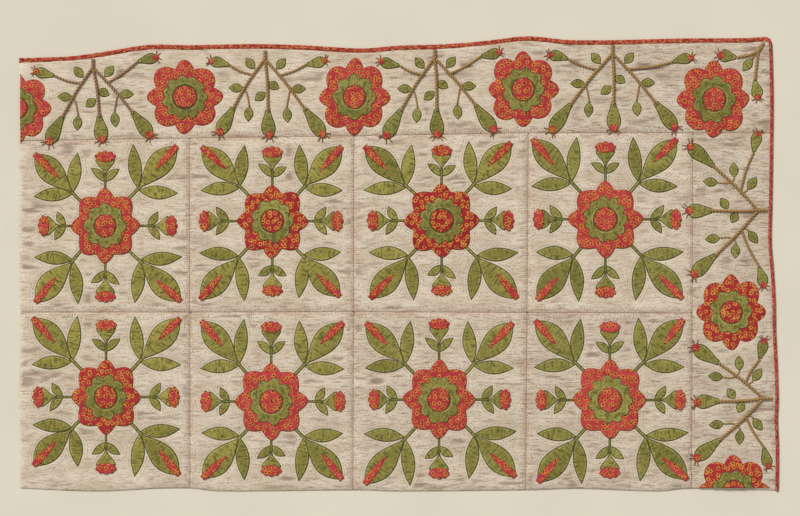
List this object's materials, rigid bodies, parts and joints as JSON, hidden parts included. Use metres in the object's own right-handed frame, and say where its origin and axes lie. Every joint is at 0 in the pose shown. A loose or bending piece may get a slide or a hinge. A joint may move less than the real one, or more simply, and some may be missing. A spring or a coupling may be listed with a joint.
{
  "type": "applique quilt",
  "caption": "Applique quilt piece lying face up, with rose and leaf blocks, a bud-spray border and a red bound edge",
  "frame": {"origin": "middle of the underside, under the middle of the outline's box", "axes": "+X along the bound upper edge to the right, +Y up the cloth to that edge, +Z out of the face"},
  "size_m": [2.052, 1.228, 0.0091],
  "materials": {
    "ground": "quilted cream cotton, puckered along its stitching",
    "backing": "plain cream cotton over a thin filling",
    "red": "red printed calico with small dark dots",
    "green": "mottled olive green cotton"
  },
  "bodies": {
    "root": {"backing": "backing", "binding_side": "red", "binding_top": "red", "block_r1c1": "ground", "block_r1c2": "ground", "block_r1c3": "ground", "block_r1c4": "ground", "block_r2c1": "ground", "block_r2c2": "ground", "block_r2c3": "ground", "block_r2c4": "ground", "border_side": "ground", "border_top": "ground", "foliage_r1c1": "green", "foliage_r1c2": "green", "foliage_r1c3": "green", "foliage_r1c4": "green", "foliage_r2c1": "green", "foliage_r2c2": "green", "foliage_r2c3": "green", "foliage_r2c4": "green", "heart_r1c1": "green", "heart_r1c2": "green", "heart_r1c3": "green", "heart_r1c4": "green", "heart_r2c1": "green", "heart_r2c2": "green", "heart_r2c3": "green", "heart_r2c4": "green", "heart_s1": "green", "heart_s2": "green", "heart_t1": "green", "heart_t2": "green", "heart_t3": "green", "heart_t4": "green", "heart_t5": "green", "rose_r1c1": "red", "rose_r1c2": "red", "rose_r1c3": "red", "rose_r1c4": "red", "rose_r2c1": "red", "rose_r2c2": "red", "rose_r2c3": "red", "rose_r2c4": "red", "rose_s1": "red", "rose_s2": "red", "rose_t1": "red", "rose_t2": "red", "rose_t3": "red", "rose_t4": "red", "rose_t5": "red", "spray_corner": "green", "spray_s1": "green", "spray_s2": "green", "spray_t1": "green", "spray_t2": "green", "spray_t3": "green", "spray_t4": "green"}
  },
  "joints": []
}
